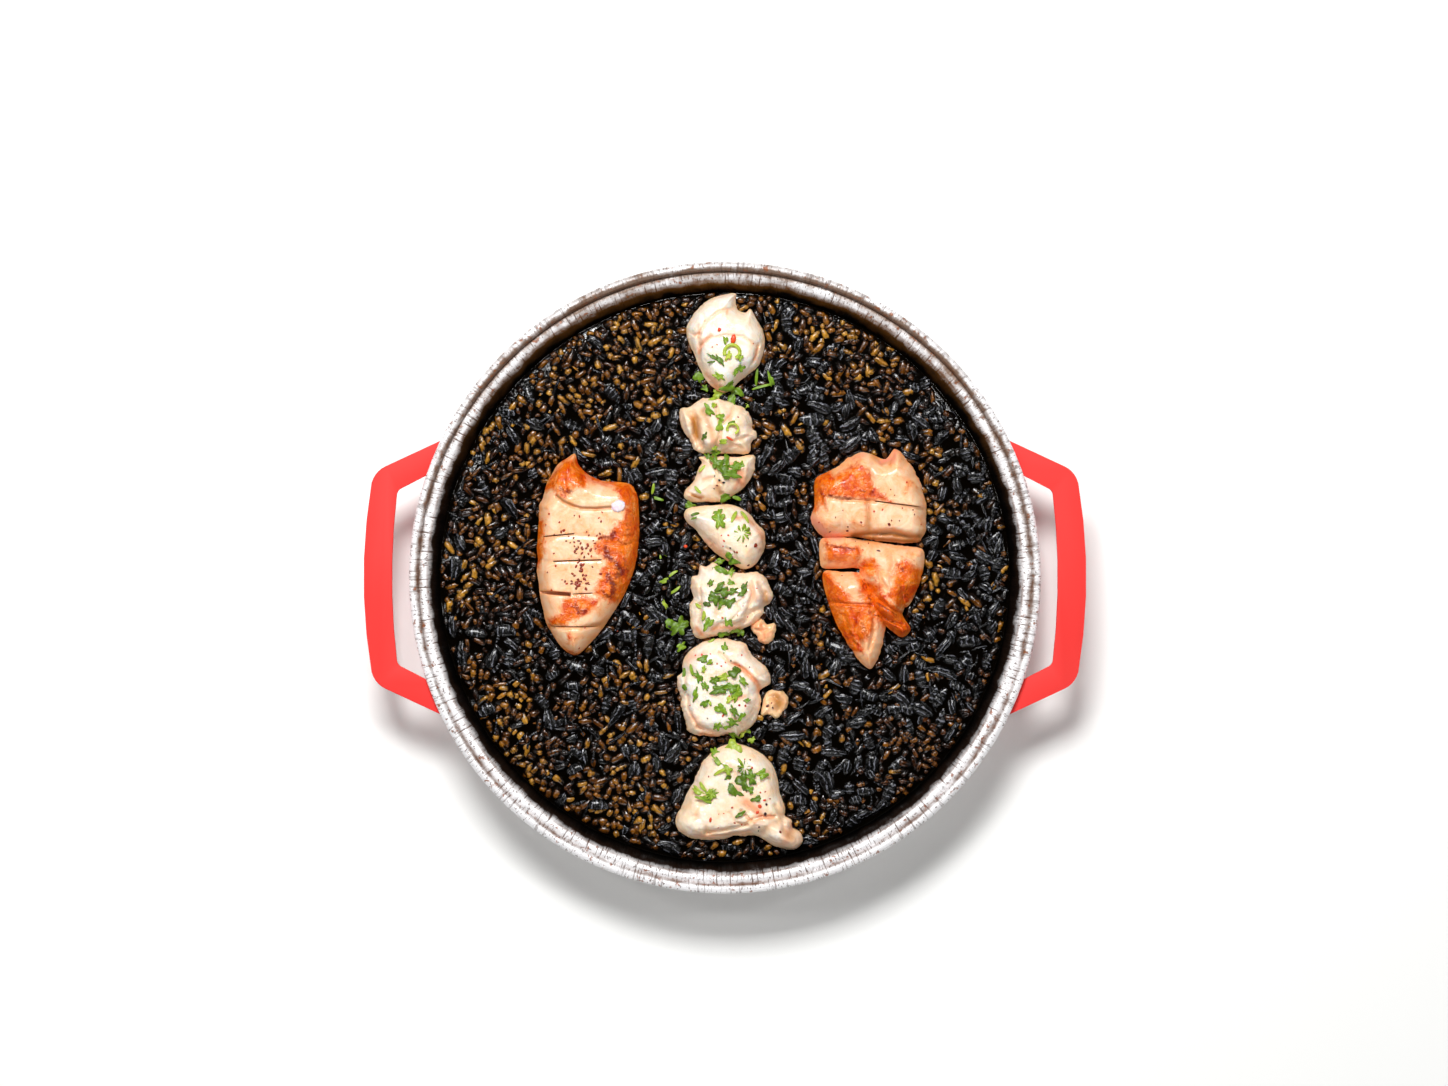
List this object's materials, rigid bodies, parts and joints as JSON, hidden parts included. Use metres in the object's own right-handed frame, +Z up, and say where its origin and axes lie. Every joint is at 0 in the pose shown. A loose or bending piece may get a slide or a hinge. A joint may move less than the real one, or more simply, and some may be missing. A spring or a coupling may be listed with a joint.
{
  "type": "pan of arroz negro",
  "caption": "Round foil pan with red card handles, filled with black rice and topped with grilled cuttlefish and a row of white fish with parsley.",
  "frame": {"origin": "middle of the pan's flat underside, on the surface that it stands on", "axes": "+Z up, +X from the left handle to the right one, +Y along the row of fish to its far end"},
  "size_m": [0.2404, 0.21, 0.032],
  "materials": {
    "foil": "satin",
    "red_card": "matte",
    "black_rice": "satin",
    "white_fish": "satin",
    "grilled_cuttlefish": "satin"
  },
  "bodies": {
    "root": {"foil_pan": "foil", "handle_left": "red_card", "handle_right": "red_card", "rice": "black_rice", "fish_1": "white_fish", "fish_2": "white_fish", "fish_3": "white_fish", "fish_4": "white_fish", "fish_5": "white_fish", "fish_5_sliver": "white_fish", "fish_6": "white_fish", "fish_6_flap": "white_fish", "fish_7": "white_fish", "cuttlefish_left": "grilled_cuttlefish", "cuttlefish_right_upper": "grilled_cuttlefish", "cuttlefish_right_middle": "grilled_cuttlefish", "cuttlefish_right_lower": "grilled_cuttlefish", "cuttlefish_right_flap": "grilled_cuttlefish"}
  },
  "joints": []
}
